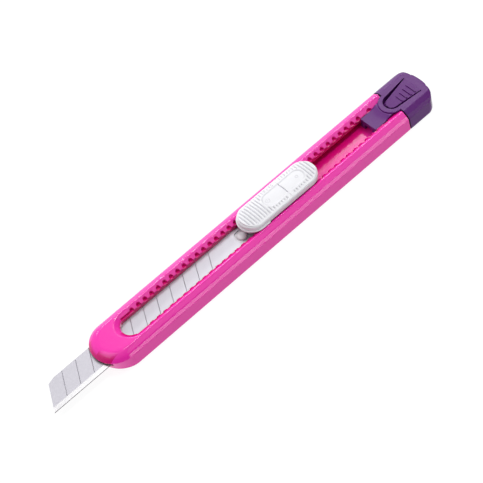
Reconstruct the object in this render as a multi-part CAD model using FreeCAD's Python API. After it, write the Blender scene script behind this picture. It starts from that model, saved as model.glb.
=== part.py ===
import FreeCAD, Part
import math
import os

# Snap-off knife: a moulded handle with an open slot along its top, a thumb slider that
# carries a scored 9 mm blade past a rack of click notches, and a pull-off end cap.
# Frame, in millimetres: +X runs from the blade's tip to the end cap, +Z points out of the
# slotted top, the cutting edge is on -Y. The origin is the middle of the handle's flat
# underside. The slider stands two segments out, in one of its click notches.

V = FreeCAD.Vector

# ---- driving dimensions --------------------------------------------------------------

# blade strip
blade_length = 80.0          # along the spine
blade_width = 9.0
blade_thick = 0.38
segment_pitch = 5.0          # from one score line to the next
score_count = 12
score_angle = 60.0           # degrees, between a score line and the spine
score_width = 0.30
score_depth = 0.13
bevel_width = 1.5            # ground edge, on both faces
spine_clip = (2.1, 0.7)      # corner broken off the first segment: along, across
hole_to_tail = 10.4          # hole centre to the spine's tail corner
hole_radius = 2.15

# handle
handle_length = 129.5        # nose to the end of the cap
cap_length = 12.5            # the part of that length behind the seam
side_wall = 3.2              # from the channel to the widest line, at the bottom
floor_thick = 1.7
lip_thick = 1.5              # the ledges that hold the blade down
lip_reach = 1.5              # how far each ledge stands over the channel
funnel_run = 1.6             # the slot's sloping sides: run and rise
funnel_rise = 1.07
slot_margin = 0.3            # flat rim beside the slot
side_draft = 0.5             # from the widest line in to the crease
crease_drop = 1.85           # crease and shoulder, measured down from the top
shoulder_drop = 0.9
shoulder_inset = 1.35        # from the widest line in to the shoulder
bottom_round = 0.7
nose_rake = 1.6              # how far the nose leans back below the blade
nose_block = 9.8             # solid nose in front of the channel
slot_setback = 13.7          # nose to the centre of the slot's round front end

# rack of click notches, on both sides of the slot
rack_setback = 17.1          # nose to the first notch
rack_pitch = 2.5
notch_width = 1.4
notch_depth = 1.03
notch_sill = 1.1             # ledge left under each notch
runout_depth = 0.57          # shallow recess in front of the first notch
runout_length = 4.3
latch_setback = 5.5          # seam to the cap's latch recess
latch_width = 2.0
latch_depth = 0.8
latch_clear = 4.3            # last notch to the latch recess, at least

# slider
rest_notch = 22              # the notch that the slider clicks into at rest
pin_lead = 16.2              # detent nose to the blade pin
pin_radius = 1.6
pin_proud = 0.3              # straight part of the pin above the blade
pin_dome = 0.25
carrier_plate = 1.5          # plate under the blade
carrier_nose = 2.75          # pin to the carrier's front
carrier_tail = 11.2          # detent nose to the carrier's rear
neck_height = 1.32           # block that rises between the ledges
waist_half = 2.3             # narrow part that the spring is threaded over
waist_reach = 7.0
waist_shift = 0.6            # waist centre, behind the detent nose
button_lead = 15.8           # detent nose to the button's front
button_length = 29.0
button_height = 2.5
button_crown = 14.0          # radius of its crowned top
button_lift = 0.15           # gap over the handle's top
flange_out = 0.35            # foot around the button's front end
flange_thick = 0.5
flange_length = 7.2
rib_pitch = 1.0
rib_width = 0.35
rib_depth = 0.2
front_ribs = 8
rear_ribs = 4
side_ribs = 7                # short ribs beside the dish, on each side of the split line
recess_length = 15.5
recess_half = 2.4
recess_depth = 0.3
recess_setback = 9.3         # button front to the recess
split_setback = 16.9         # button front to the line across its middle
post_radius = 0.6
post_spread = (-6.1, 5.4)    # posts, from the split line
spring_thick = 0.3
spring_height = 0.9
nose_radius = 0.5            # rounded detent noses of the spring
nose_reach = 1.05            # how far a nose stands out of the spring's side

# end cap
cap_corner = 5.0             # plan radius of its rear corners
cap_bulge = 0.5              # how far its end face bows out
cap_lean = 0.4               # how much further out the end face stands at its foot
plate_setback = 0.4          # seam to the centre of the top plate's round front
root_length = 3.1            # how far the parts inside the handle run on into the cap
tongue_length = 9.3
tongue_thick = 1.5
rail_width = 1.6
plug_length = 4.7            # lower block behind the tongue's rails
ramp_run = 1.6               # slope from the tongue up to the top plate
pad_drop = 0.55              # thumb pad, below the cap's top
pad_front_half = 1.9
pad_rear_half = 3.3
pad_length = 10.6
pad_setback = 1.1            # pad front, in front of the seam
groove_width = 0.9           # at the pad's front
groove_tail = 0.35           # at its rear ends
groove_depth = 2.2
pad_ribs = 4
pad_rib_pitch = 1.63
pad_rib_width = 0.4
pad_rib_height = 0.25
pad_rib_setback = 4.1        # pad front to its first rib
seam_gap = 0.05

# named clearances
slide_gap = 0.1              # sliding faces, up and down
side_gap = 0.2               # sliding faces, sideways
slot_gap = 0.25              # slider's neck in the slot
over = 0.5                   # how far a cutting shape runs past what it cuts

# ---- sizes that follow ---------------------------------------------------------------

nose_x = -handle_length / 2
end_x = handle_length / 2
seam_x = end_x - cap_length
channel_half = blade_width / 2 + side_gap
side_half = channel_half + side_wall
slot_half = channel_half - lip_reach
rim_half = slot_half + funnel_run
carrier_z = floor_thick + slide_gap
blade_z = carrier_z + carrier_plate
blade_top = blade_z + blade_thick
lip_z = blade_top + slide_gap
lip_top = lip_z + lip_thick
top_z = lip_top + funnel_rise
notch_z = lip_z + notch_sill
crease_half = side_half - side_draft
shoulder_half = side_half - shoulder_inset
plateau_half = rim_half + slot_margin
nose_centre = nose_x + crease_half
slot_x = nose_x + slot_setback
channel_front = nose_x + nose_block
rack_x = nose_x + rack_setback
latch_x = seam_x - latch_setback
notch_count = int((latch_x - latch_clear - rack_x) / rack_pitch + 1e-6) + 1
detent_x = rack_x + rest_notch * rack_pitch
pin_x = detent_x - pin_lead
tail_x = pin_x + hole_to_tail
score_slope = 1 / math.tan(math.radians(score_angle))
button_z = top_z + button_lift
button_top = button_z + button_height
button_x = detent_x - button_lead
button_half = rim_half - 2 * side_gap
split_x = button_x + split_setback
tongue_x = seam_x - tongue_length
tongue_z = lip_top - slide_gap - tongue_thick


# ---- helpers -------------------------------------------------------------------------

def box(x0, x1, y0, y1, z0, z1):
    """A block between two corners."""
    return Part.makeBox(x1 - x0, y1 - y0, z1 - z0, V(x0, y0, z0))


def disc(x, y, radius, z0, z1):
    """An upright round bar."""
    return Part.makeCylinder(radius, z1 - z0, V(x, y, z0))


def prism(points, z0, z1):
    """A plan outline, given as (x, y) corners, raised from z0 to z1."""
    corners = [V(x, y, z0) for x, y in points]
    face = Part.Face(Part.makePolygon(corners + corners[:1]))
    return face.extrude(V(0, 0, z1 - z0))


def stadium(x0, x1, half, z0, z1):
    """An upright plate with round ends, of half width half."""
    middle = box(x0 + half, x1 - half, -half, half, z0, z1)
    ends = [disc(x, 0, half, z0, z1) for x in (x0 + half, x1 - half)]
    return middle.fuse(ends).removeSplitter()


def mirrored(shape):
    """The same shape on the other side of the knife."""
    return shape.mirror(V(0, 0, 0), V(0, 1, 0))


def outline(points, arcs):
    """Edges through (y, z) points at x = 0; arcs gives a middle point after an index."""
    at = [V(0, y, z) for y, z in points]
    edges = []
    for i, start in enumerate(at):
        end = at[(i + 1) % len(at)]
        if i in arcs:
            edges.append(Part.Arc(start, V(0, *arcs[i]), end).toShape())
        else:
            edges.append(Part.LineSegment(start, end).toShape())
    return Part.Wire(edges)


def half_section():
    """Right half of the handle's outer section, in the plane x = 0."""
    r = bottom_round
    bend = r * (1 - math.sqrt(0.5))
    points = [
        (0, 0),
        (side_half - r, 0),
        (side_half, r),
        (crease_half, top_z - crease_drop),
        (shoulder_half, top_z - shoulder_drop),
        (plateau_half, top_z),
        (0, top_z),
    ]
    return Part.Face(outline(points, {1: (side_half - bend, bend)}))


def outer_bar(x0, x1):
    """The handle's outer section, drawn out from x0 to x1."""
    half = half_section().extrude(V(x1 - x0, 0, 0))
    half.translate(V(x0, 0, 0))
    return half.fuse(mirrored(half)).removeSplitter()


def funnel(x, r_gap, x_end):
    """The slot's sloping sides: a cone at x and a tapered bar that runs on to x_end."""
    low = slot_half - r_gap
    high = rim_half - r_gap
    cone = Part.makeCone(low, high, funnel_rise, V(x, 0, lip_top))
    section = Part.makePolygon([
        V(x, -low, lip_top), V(x, low, lip_top),
        V(x, high, top_z), V(x, -high, top_z), V(x, -low, lip_top)])
    bar = Part.Face(section).extrude(V(x_end - x, 0, 0))
    return cone.fuse(bar).removeSplitter()


def notch(x, width, depth):
    """A notch with a round back, sunk into the +Y side of the slot from above."""
    back = slot_half + depth
    r = width / 2
    inner = slot_half - over
    a, b, c, d = (V(x - r, inner, notch_z), V(x - r, back - r, notch_z),
                  V(x + r, back - r, notch_z), V(x + r, inner, notch_z))
    wire = Part.Wire([
        Part.LineSegment(a, b).toShape(),
        Part.Arc(b, V(x, back, notch_z), c).toShape(),
        Part.LineSegment(c, d).toShape(),
        Part.LineSegment(d, a).toShape()])
    return Part.Face(wire).extrude(V(0, 0, top_z + over - notch_z))


# ---- pieces --------------------------------------------------------------------------

def handle_body():
    """One-piece channel: round raked nose, slot with a rack on both sides, open rear."""
    nose = half_section()
    nose.translate(V(nose_centre, 0, 0))
    nose = nose.revolve(V(nose_centre, 0, 0), V(0, 0, 1), 180)
    body = nose.fuse(outer_bar(nose_centre, seam_x)).removeSplitter()

    # the nose leans back below the blade: keep what lies inside a slanted round front
    front = nose_x + nose_rake + side_half
    rear = end_x + over
    lean = -nose_rake / blade_top
    plan = Part.Wire([
        Part.Arc(V(front, side_half, 0), V(front - side_half, 0, 0),
                 V(front, -side_half, 0)).toShape(),
        Part.LineSegment(V(front, -side_half, 0), V(rear, -side_half, 0)).toShape(),
        Part.LineSegment(V(rear, -side_half, 0), V(rear, side_half, 0)).toShape(),
        Part.LineSegment(V(rear, side_half, 0), V(front, side_half, 0)).toShape()])
    rise = top_z + over
    body = body.common(Part.Face(plan).extrude(V(lean * rise, 0, rise)))

    cuts = [
        box(channel_front, seam_x + over, -channel_half, channel_half, floor_thick, lip_z),
        box(nose_x - over, channel_front + over, -channel_half - slot_margin,
            channel_half + slot_margin, blade_z - slide_gap, lip_z),
        disc(slot_x, 0, slot_half, lip_z - over, lip_top + over),
        box(slot_x, seam_x + over, -slot_half, slot_half, lip_z - over, lip_top + over),
        funnel(slot_x, 0, seam_x + over),
    ]
    for cut in cuts:
        body = body.cut(cut)

    notches = [notch(rack_x + i * rack_pitch, notch_width, notch_depth)
               for i in range(notch_count)]
    notches.append(notch(latch_x, latch_width, latch_depth))
    notches.append(box(rack_x - runout_length, rack_x, slot_half - over,
                       slot_half + runout_depth, notch_z, top_z + over))
    notches += [mirrored(tool) for tool in notches]
    for tool in notches:
        body = body.cut(tool)
    return body.removeSplitter()


def blade_front(y):
    """Where the blade's slanted front, or any score line from that corner, crosses y."""
    return tail_x - blade_length - (blade_width / 2 - y) * score_slope


def snap_blade():
    """Steel strip with a bevelled edge, scored into segments, and a hole for the pin."""
    half = blade_width / 2
    clip_along, clip_across = spine_clip
    strip = prism([
        (blade_front(-half), -half),
        (blade_front(half - clip_across), half - clip_across),
        (blade_front(half) + clip_along, half),
        (tail_x, half),
        (blade_front(-half) + blade_length, -half),
    ], blade_z, blade_top)
    strip = strip.cut(disc(pin_x, 0, hole_radius, blade_z - over, blade_top + over))

    # the edge is ground from both faces
    start = blade_front(-half) - over
    middle = blade_z + blade_thick / 2
    for face_z in (blade_z, blade_top):
        away = face_z + (face_z - middle)
        corners = [V(start, bevel_width - half, face_z), V(start, -half, middle),
                   V(start, -half - over, middle), V(start, -half - over, away),
                   V(start, bevel_width - half, away)]
        wedge = Part.Face(Part.makePolygon(corners + corners[:1]))
        strip = strip.cut(wedge.extrude(V(blade_length + blade_width, 0, 0)))

    # score lines: shallow V cuts across the upper face, from the spine to the bevel
    run = V(-(blade_width - bevel_width + over) * score_slope, -(blade_width - bevel_width + over), 0)
    for i in range(1, score_count + 1):
        x = blade_front(half) + i * segment_pitch + over * score_slope
        y = half + over
        corners = [V(x - score_width / 2, y, blade_top + slide_gap),
                   V(x + score_width / 2, y, blade_top + slide_gap),
                   V(x, y, blade_top - score_depth)]
        strip = strip.cut(Part.Face(Part.makePolygon(corners + corners[:1])).extrude(run))
    return strip


def blade_carrier():
    """Plate under the blade with the blade pin, and a necked block up through the slot."""
    half = channel_half - side_gap
    rear = detent_x + carrier_tail
    plate = box(pin_x - carrier_nose, rear, -half, half, carrier_z, blade_z)
    heel = box(tail_x + side_gap, rear, -half, half, carrier_z, blade_top)
    neck_half = slot_half - slot_gap
    neck_front = tail_x - (blade_width / 2 - neck_half) * score_slope + 2 * side_gap
    neck = box(neck_front, rear - side_gap, -neck_half, neck_half, carrier_z, blade_top + neck_height)
    waist_x = detent_x + waist_shift
    waist = stadium(waist_x - waist_reach, waist_x + waist_reach, waist_half,
                    blade_top + neck_height, button_z)
    pin_top = blade_top + pin_proud
    pin = disc(pin_x, 0, pin_radius, carrier_z, pin_top)
    dome_r = (pin_radius ** 2 + pin_dome ** 2) / (2 * pin_dome)
    ball = Part.makeSphere(dome_r, V(pin_x, 0, pin_top + pin_dome - dome_r))
    dome = ball.common(disc(pin_x, 0, pin_radius, pin_top - slide_gap, pin_top + over))
    posts = [disc(split_x + x, 0, post_radius, button_z - over, button_top - recess_depth)
             for x in post_spread]
    return plate.fuse([heel, neck, waist, pin, dome] + posts).removeSplitter()


def detent_spring():
    """Thin steel loop around the carrier's waist, with a rounded nose on each side."""
    x = detent_x + waist_shift
    z0 = blade_top + neck_height + slide_gap / 2
    z1 = z0 + spring_height
    inner = waist_half + side_gap
    reach = waist_reach + side_gap
    outer = inner + spring_thick
    loop = stadium(x - reach - spring_thick, x + reach + spring_thick, outer, z0, z1)
    hollow = stadium(x - reach, x + reach, inner, z0 - over, z1 + over)
    tip = outer + nose_reach - nose_radius
    nose = disc(detent_x, tip, nose_radius, z0, z1).fuse(
        box(detent_x - nose_radius, detent_x + nose_radius, inner + spring_thick / 2, tip, z0, z1))
    return loop.cut(hollow).fuse([nose, mirrored(nose)]).removeSplitter()


def slider_button():
    """Crowned thumb button: ribs across both ends, and a dish between two rows of ribs."""
    x1 = button_x + button_length
    crown = Part.makeCylinder(button_crown, button_length + 2 * over,
                              V(button_x - over, 0, button_top - button_crown), V(1, 0, 0))
    button = stadium(button_x, x1, button_half, button_z, button_top + over).common(crown)

    foot = stadium(button_x - flange_out, x1, button_half + flange_out,
                   button_z, button_z + flange_thick)
    foot = foot.common(box(button_x - over, button_x + flange_length,
                           -side_half, side_half, button_z, button_top))
    button = button.fuse(foot).removeSplitter()

    dish_x = button_x + recess_setback
    dish_end = dish_x + recess_length
    cuts = [stadium(dish_x, dish_end, recess_half, button_top - recess_depth, button_top + over)]

    def rib(x, y0, y1, depth=rib_depth):
        """A groove across the button, sunk below its crowned top."""
        ring = Part.makeCylinder(button_crown + over, rib_width,
                                 V(x - rib_width / 2, 0, button_top - button_crown), V(1, 0, 0))
        core = Part.makeCylinder(button_crown - depth, rib_width,
                                 V(x - rib_width / 2, 0, button_top - button_crown), V(1, 0, 0))
        return ring.cut(core).common(box(x - rib_width, x + rib_width, y0, y1, button_z, button_top + over))

    edge = button_half - 2 * side_gap
    for i in range(front_ribs):
        cuts.append(rib(dish_x - (i + 0.5) * rib_pitch, -edge, edge))
    for i in range(rear_ribs):
        cuts.append(rib(dish_end + (i + 0.5) * rib_pitch, -edge, edge))
    for side in (-1, 1):
        low, high = sorted((side * (recess_half + side_gap), side * edge))
        for i in range(side_ribs):
            for x in (split_x - (i + 1) * rib_pitch, split_x + (i + 1) * rib_pitch):
                cuts.append(rib(x, low, high))
    cuts.append(rib(split_x, -button_half - over, button_half + over))
    for x in post_spread:
        cuts.append(disc(split_x + x, 0, post_radius, button_z - over, button_top))
    for cut in cuts:
        button = button.cut(cut)
    return button


def end_cap():
    """Pull-off end: a tongue and rails in the channel, and a ribbed thumb pad in a groove."""
    block = outer_bar(seam_x + seam_gap, end_x + cap_lean)
    r = cap_corner
    mid = r * (1 - math.sqrt(0.5))
    corner_x = end_x - cap_bulge
    front = seam_x - cap_lean - over
    back = [V(front, side_half, 0), V(corner_x - r, side_half, 0),
            V(corner_x, side_half - r, 0), V(corner_x, r - side_half, 0),
            V(corner_x - r, -side_half, 0), V(front, -side_half, 0)]
    plan = Part.Wire([
        Part.LineSegment(back[0], back[1]).toShape(),
        Part.Arc(back[1], V(corner_x - mid, side_half - mid, 0), back[2]).toShape(),
        Part.Arc(back[2], V(end_x, 0, 0), back[3]).toShape(),
        Part.Arc(back[3], V(corner_x - mid, mid - side_half, 0), back[4]).toShape(),
        Part.LineSegment(back[4], back[5]).toShape(),
        Part.LineSegment(back[5], back[0]).toShape()])
    lean = Part.Face(plan).extrude(V(-cap_lean, 0, top_z))
    lean.translate(V(cap_lean, 0, 0))
    block = block.common(lean)

    # what goes into the handle: top plate in the slot, ramp, tongue, rails and plug
    join = seam_x + root_length
    plate_x = seam_x + plate_setback
    plate = funnel(plate_x, slide_gap, join)
    half = slot_half - slide_gap
    tongue = box(tongue_x, join, -half, half, tongue_z, tongue_z + tongue_thick)
    ramp = Part.makeCone(rim_half + ramp_run, rim_half - slide_gap,
                         top_z - tongue_z - tongue_thick,
                         V(plate_x, 0, tongue_z + tongue_thick))
    ramp = ramp.common(box(tongue_x, join, -half, half, tongue_z, top_z))
    rails = [box(tongue_x, join, y, y + rail_width, carrier_z, tongue_z + over)
             for y in (-half, half - rail_width)]
    plug = box(seam_x - plug_length, join, side_gap - channel_half, channel_half - side_gap,
               carrier_z, lip_z - slide_gap)
    cap = block.fuse([plate, tongue, ramp, plug] + rails).removeSplitter()

    # thumb pad: a tapered tab, lower than the top plate, with a groove round three sides
    pad_x = seam_x - pad_setback
    pad_end = pad_x + pad_length

    def tab(front, rear, z0):
        """A round-fronted plan that widens from half width front to half width rear."""
        nose = disc(pad_x + pad_front_half, 0, front, z0, top_z + over)
        wedge = prism([(pad_x + pad_front_half, -front), (pad_end, -rear),
                       (pad_end, rear), (pad_x + pad_front_half, front)], z0, top_z + over)
        return nose.fuse(wedge).removeSplitter()

    moat = tab(pad_front_half + groove_width, pad_rear_half + groove_tail, top_z - groove_depth)
    pad = tab(pad_front_half, pad_rear_half, 0)
    cap = cap.cut(moat.cut(pad)).cut(tab(pad_front_half, pad_rear_half, top_z - pad_drop))
    for i in range(pad_ribs):
        x = pad_x + pad_rib_setback + i * pad_rib_pitch
        share = (x - pad_x - pad_front_half) / (pad_length - pad_front_half)
        reach = pad_front_half + (pad_rear_half - pad_front_half) * share - side_gap
        rib = box(x, x + pad_rib_width, -reach, reach,
                  top_z - pad_drop - over, top_z - pad_drop + pad_rib_height)
        cap = cap.fuse(rib)
    return cap.removeSplitter()


# ---- write ---------------------------------------------------------------------------

pieces = {
    "handle_body": handle_body,
    "snap_blade": snap_blade,
    "blade_carrier": blade_carrier,
    "detent_spring": detent_spring,
    "slider_button": slider_button,
    "end_cap": end_cap,
}

os.makedirs("parts", exist_ok=True)
for name, make in pieces.items():
    shape = make()
    assert shape.isValid() and len(shape.Solids) == 1, name
    shape.exportStep("parts/" + name + ".step")
    size = shape.optimalBoundingBox()
    print("%-14s %8.1f mm3  x %.2f..%.2f  y %.2f..%.2f  z %.2f..%.2f" % (
        name, shape.Volume, size.XMin, size.XMax, size.YMin, size.YMax, size.ZMin, size.ZMax))
print("notches %d, detent at x %.2f, pin at x %.2f" % (notch_count, detent_x, pin_x))
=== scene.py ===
# %% [markdown]
# # Snap-off knife
#
# The object is a small craft knife. A moulded handle has an open slot along its top with a
# rack of click notches on each side, a thumb button carries a scored blade along the slot,
# and a purple cap closes the rear. The CAD parts give every place and size. This file makes
# the visible version of each part: softer edges, ribs, score lines and finishes.

# %% Load the fixed frame
import math

import bmesh
import bpy
from mathutils import Matrix, Vector


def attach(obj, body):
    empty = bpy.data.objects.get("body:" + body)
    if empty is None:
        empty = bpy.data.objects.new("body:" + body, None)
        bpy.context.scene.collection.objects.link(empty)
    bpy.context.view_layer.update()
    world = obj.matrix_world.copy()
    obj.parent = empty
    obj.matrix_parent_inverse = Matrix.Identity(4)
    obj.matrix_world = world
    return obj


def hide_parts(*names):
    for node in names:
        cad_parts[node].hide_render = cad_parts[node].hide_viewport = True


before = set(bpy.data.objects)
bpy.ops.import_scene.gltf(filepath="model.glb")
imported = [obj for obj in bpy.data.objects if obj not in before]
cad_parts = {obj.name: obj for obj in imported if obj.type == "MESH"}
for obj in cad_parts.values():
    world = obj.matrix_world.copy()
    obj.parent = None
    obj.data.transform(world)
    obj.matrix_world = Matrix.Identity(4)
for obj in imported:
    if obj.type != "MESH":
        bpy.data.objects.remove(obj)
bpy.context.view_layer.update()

# %% [markdown]
# The pieces are modelled in millimetres, because the cutting tools below work best on
# meshes of ordinary size, and each finished mesh is scaled to metres once. The sizes
# here are the ones that the CAD parts were drawn with, in the same frame: +X runs from
# the blade's tip to the cap, +Z points out of the slot, and the cutting edge is on -Y.
# A few later sizes differ from the CAD on purpose, and the text above them says so.

# %% Shared sizes, in millimetres
MM = 0.001

nose_x, seam_x, end_x = -64.75, 52.25, 64.75
top_z = 6.35
floor_z = 1.7
blade_z, blade_top = 3.30, 3.68
lip_z, lip_top = 3.78, 5.28
channel_half = 4.7
slot_half = 3.2
rim_half = 4.8
side_half = 7.9
foot_z = 1.8
plug_half = 4.5
nose_centre = -57.35
detent_x = 7.35
pin_x = -8.85
split_x = 8.45
tail_x = 1.55
over = 0.5
print("handle", seam_x - nose_x, "mm, cap", end_x - seam_x, "mm")

# %% [markdown]
# Most pieces here are a stack of outlines joined by side faces, like a loaf of slices:
# the handle's shell, the slot's funnel and the button are all made so. One helper joins
# the slices and closes both ends, and another lets Blender turn every face outwards.

# %% Helpers that make a closed mesh
def mesh_object(name, corners, faces):
    mesh = bpy.data.meshes.new(name)
    mesh.from_pydata([tuple(c) for c in corners], [], faces)
    obj = bpy.data.objects.new(name, mesh)
    bpy.context.scene.collection.objects.link(obj)
    return face_outwards(obj)


def face_outwards(obj):
    work = bmesh.new()
    work.from_mesh(obj.data)
    bmesh.ops.remove_doubles(work, verts=work.verts, dist=1e-5)
    bmesh.ops.recalc_face_normals(work, faces=work.faces)
    work.to_mesh(obj.data)
    work.free()
    return obj


def loft(name, rings):
    """Joins closed outlines with the same number of points, and closes the two ends."""
    count = len(rings[0])
    faces = [list(range(count)), [len(rings) * count - 1 - i for i in range(count)]]
    for r in range(len(rings) - 1):
        for i in range(count):
            j = (i + 1) % count
            faces.append([r * count + i, r * count + j, (r + 1) * count + j, (r + 1) * count + i])
    return mesh_object(name, [p for ring in rings for p in ring], faces)


def prism(name, outline, z0, z1):
    return loft(name, [[(x, y, z) for x, y in outline] for z in (z0, z1)])


def box(name, x0, x1, y0, y1, z0, z1):
    return prism(name, [(x0, y0), (x1, y0), (x1, y1), (x0, y1)], z0, z1)


def circle(x, y, radius, steps=48):
    turns = [2 * math.pi * i / steps for i in range(steps)]
    return [(x + radius * math.cos(t), y + radius * math.sin(t)) for t in turns]


def stadium(x0, x1, half, steps=24):
    """A plan outline with straight sides and round ends."""
    front = [math.pi / 2 + math.pi * i / steps for i in range(steps + 1)]
    outline = [(x0 + half + half * math.cos(t), half * math.sin(t)) for t in front]
    return outline + [(x0 + x1 - x, -y) for x, y in outline]


# %% [markdown]
# A moulded edge is never sharp. `fillet` rounds each corner of an outline by its own
# radius, so that the long edges of the handle already carry the thin highlights that
# plastic shows, before any modifier is used.

# %% Rounded corners on an outline
def fillet(points, radii, steps=5):
    """Rounds the inner corners of an open line; radii has one value for each of them."""
    line = [Vector(points[0])]
    for before, corner, after, radius in zip(points, points[1:], points[2:], radii):
        corner = Vector(corner)
        back = (Vector(before) - corner).normalized()
        ahead = (Vector(after) - corner).normalized()
        half_turn = back.angle(ahead) / 2
        reach = radius / math.tan(half_turn)
        middle = corner + (back + ahead).normalized() * radius / math.sin(half_turn)
        start, end = corner + back * reach, corner + ahead * reach
        for i in range(steps + 1):
            spot = start.lerp(end, i / steps) - middle
            line.append(middle + spot.normalized() * radius)
    return line + [Vector(points[-1])]


# %% [markdown]
# Slots, notches and holes are cut with Boolean modifiers, as a machinist would cut them.
# Each cut is settled at once into a plain mesh, so that pieces never depend on a tool
# that is hidden somewhere.

# %% Cutting, joining and settling
def settle(obj):
    """Turns what the modifiers show into the object's own plain mesh."""
    graph = bpy.context.evaluated_depsgraph_get()
    mesh = bpy.data.meshes.new_from_object(obj.evaluated_get(graph))
    obj.modifiers.clear()
    obj.data = mesh
    return obj


def combine(obj, tool, how, solver="MANIFOLD"):
    """EXACT keeps large faces whole, which long glossy sides need; MANIFOLD is quick."""
    cut = obj.modifiers.new("combine", "BOOLEAN")
    cut.operation = how
    cut.solver = solver
    cut.object = tool
    settle(obj)
    bpy.data.objects.remove(tool)
    return obj


def mirror_tool(tool):
    """Adds the same tool on the other side of the knife."""
    twin = tool.copy()
    twin.data = tool.data.copy()
    twin.data.transform(Matrix.Scale(-1, 4, (0, 1, 0)))
    twin.data.flip_normals()
    bpy.context.scene.collection.objects.link(twin)
    return [tool, twin]


def round_edges(obj, width, angle=35, segments=2):
    work = bmesh.new()
    work.from_mesh(obj.data)
    bmesh.ops.dissolve_limit(work, angle_limit=math.radians(0.3), verts=work.verts,
                             edges=work.edges)
    work.to_mesh(obj.data)
    work.free()
    bevel = obj.modifiers.new("edges", "BEVEL")
    bevel.width = width
    bevel.segments = segments
    bevel.limit_method = "ANGLE"
    bevel.angle_limit = math.radians(angle)
    bevel.use_clamp_overlap = True
    bevel.harden_normals = False
    return settle(obj)


# %% [markdown]
# Node trees are used twice: to lay out what repeats, and to mix the finishes. Both need
# sums, and a sum of nodes is hard to read, so this small class lets the script write
# `1 - mask * 0.5` and adds the Math nodes itself.

# %% Sums and nodes as Python expressions
class Wire:
    """One output socket. Sums with it add Math nodes to its tree."""

    def __init__(self, maker, socket):
        self.maker = maker
        self.socket = socket

    def math(self, operation, *values):
        return self.maker.node("ShaderNodeMath", {"operation": operation},
                               dict(enumerate(values)))

    def __add__(self, other):
        return self.math("ADD", self, other)

    def __radd__(self, other):
        return self.math("ADD", other, self)

    def __sub__(self, other):
        return self.math("SUBTRACT", self, other)

    def __rsub__(self, other):
        return self.math("SUBTRACT", other, self)

    def __mul__(self, other):
        return self.math("MULTIPLY", self, other)

    def __truediv__(self, other):
        return self.math("DIVIDE", self, other)

    def __neg__(self):
        return self.math("MULTIPLY", self, -1.0)

    def __abs__(self):
        return self.math("ABSOLUTE", self)

    def __gt__(self, other):
        return self.math("GREATER_THAN", self, other)

    def __lt__(self, other):
        return self.math("LESS_THAN", self, other)


class Maker:
    """Adds nodes to one tree."""

    def __init__(self, tree):
        self.tree = tree

    def node(self, kind, settings=None, inputs=None, out=0):
        new = self.tree.nodes.new(kind)
        for key, value in (settings or {}).items():
            if key == "stops":
                for stop, (place, shade) in zip(new.color_ramp.elements, value):
                    stop.position, stop.color = place, shade
            else:
                setattr(new, key, value)
        for key, value in (inputs or {}).items():
            socket = new.inputs[key]
            for item in value if isinstance(value, list) else [value]:
                if isinstance(item, Wire):
                    self.tree.links.new(item.socket, socket)
                else:
                    socket.default_value = item
        return Wire(self, new.outputs[out])


# %% [markdown]
# A repeating tool is a Geometry Nodes tree with named inputs, so that the same tree can
# be opened in the modifier panel and its pitch or count changed by hand. `Repeat` opens
# such a tree; `run` gives its inputs their values and settles the result.

# %% Geometry Nodes trees with named inputs
class Repeat(Maker):
    def __init__(self, name, **sizes):
        super().__init__(bpy.data.node_groups.new(name, "GeometryNodeTree"))
        self.values = {}
        self.tree.interface.new_socket("Mesh", in_out="INPUT", socket_type="NodeSocketGeometry")
        self.tree.interface.new_socket("Mesh", in_out="OUTPUT", socket_type="NodeSocketGeometry")
        for label, value in sizes.items():
            kind = "NodeSocketInt" if isinstance(value, int) else "NodeSocketFloat"
            item = self.tree.interface.new_socket(label, in_out="INPUT", socket_type=kind)
            self.values[label] = (item.identifier, value)
        self.entry = self.tree.nodes.new("NodeGroupInput")

    def size(self, label):
        return Wire(self, self.entry.outputs[label])

    def math_min(self, a, b):
        return self.node("ShaderNodeMath", {"operation": "MINIMUM"}, {0: a, 1: b})

    def point(self, x, y, z):
        return self.node("ShaderNodeCombineXYZ", None, {0: x, 1: y, 2: z})

    def move(self, shape, x, y, z):
        return self.node("GeometryNodeTransform", None,
                         {"Geometry": shape, "Translation": self.point(x, y, z)})

    def row(self, shape, count, pitch, scale=(1, 1, 1)):
        """Copies of a shape in a row along X, as real geometry."""
        line = self.node("GeometryNodeMeshLine", {"mode": "OFFSET"},
                         {"Count": count, "Start Location": (0, 0, 0),
                          "Offset": self.point(pitch, 0.0, 0.0)})
        copies = self.node("GeometryNodeInstanceOnPoints", None,
                           {"Points": line, "Instance": shape, "Scale": scale})
        return self.node("GeometryNodeRealizeInstances", None, {"Geometry": copies})

    def finish(self, shape, finish):
        real = self.node("GeometryNodeRealizeInstances", None, {"Geometry": shape})
        done = self.node("GeometryNodeSetMaterial", None, {"Geometry": real, "Material": finish})
        exit_node = self.tree.nodes.new("NodeGroupOutput")
        self.tree.links.new(done.socket, exit_node.inputs[0])
        return self

    def run(self, name, obj=None, **changes):
        """Runs the tree on a mesh, or on an empty one, with some sizes changed."""
        if obj is None:
            obj = mesh_object(name, [], [])
        modifier = obj.modifiers.new(name, "NODES")
        modifier.node_group = self.tree
        for label, (identifier, value) in self.values.items():
            modifier[identifier] = changes.get(label, value)
        return settle(obj)


# %% [markdown]
# The handle and the cap are injection-moulded plastic with a semi-gloss skin. A very fine
# grain in the bump keeps the highlights from looking like glass, and a faint change of
# roughness over the surface keeps large faces alive. Both read Object coordinates, so
# the grain stays on the piece when it slides. A darker colour can be mixed in by a mask:
# that is painted shade, inside the handle's slot and in the button's grooves.

# %% Moulded plastic
def new_finish(name):
    finish = bpy.data.materials.new(name)
    finish.use_nodes = True
    finish.node_tree.nodes.clear()
    return finish, Maker(finish.node_tree)


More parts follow.
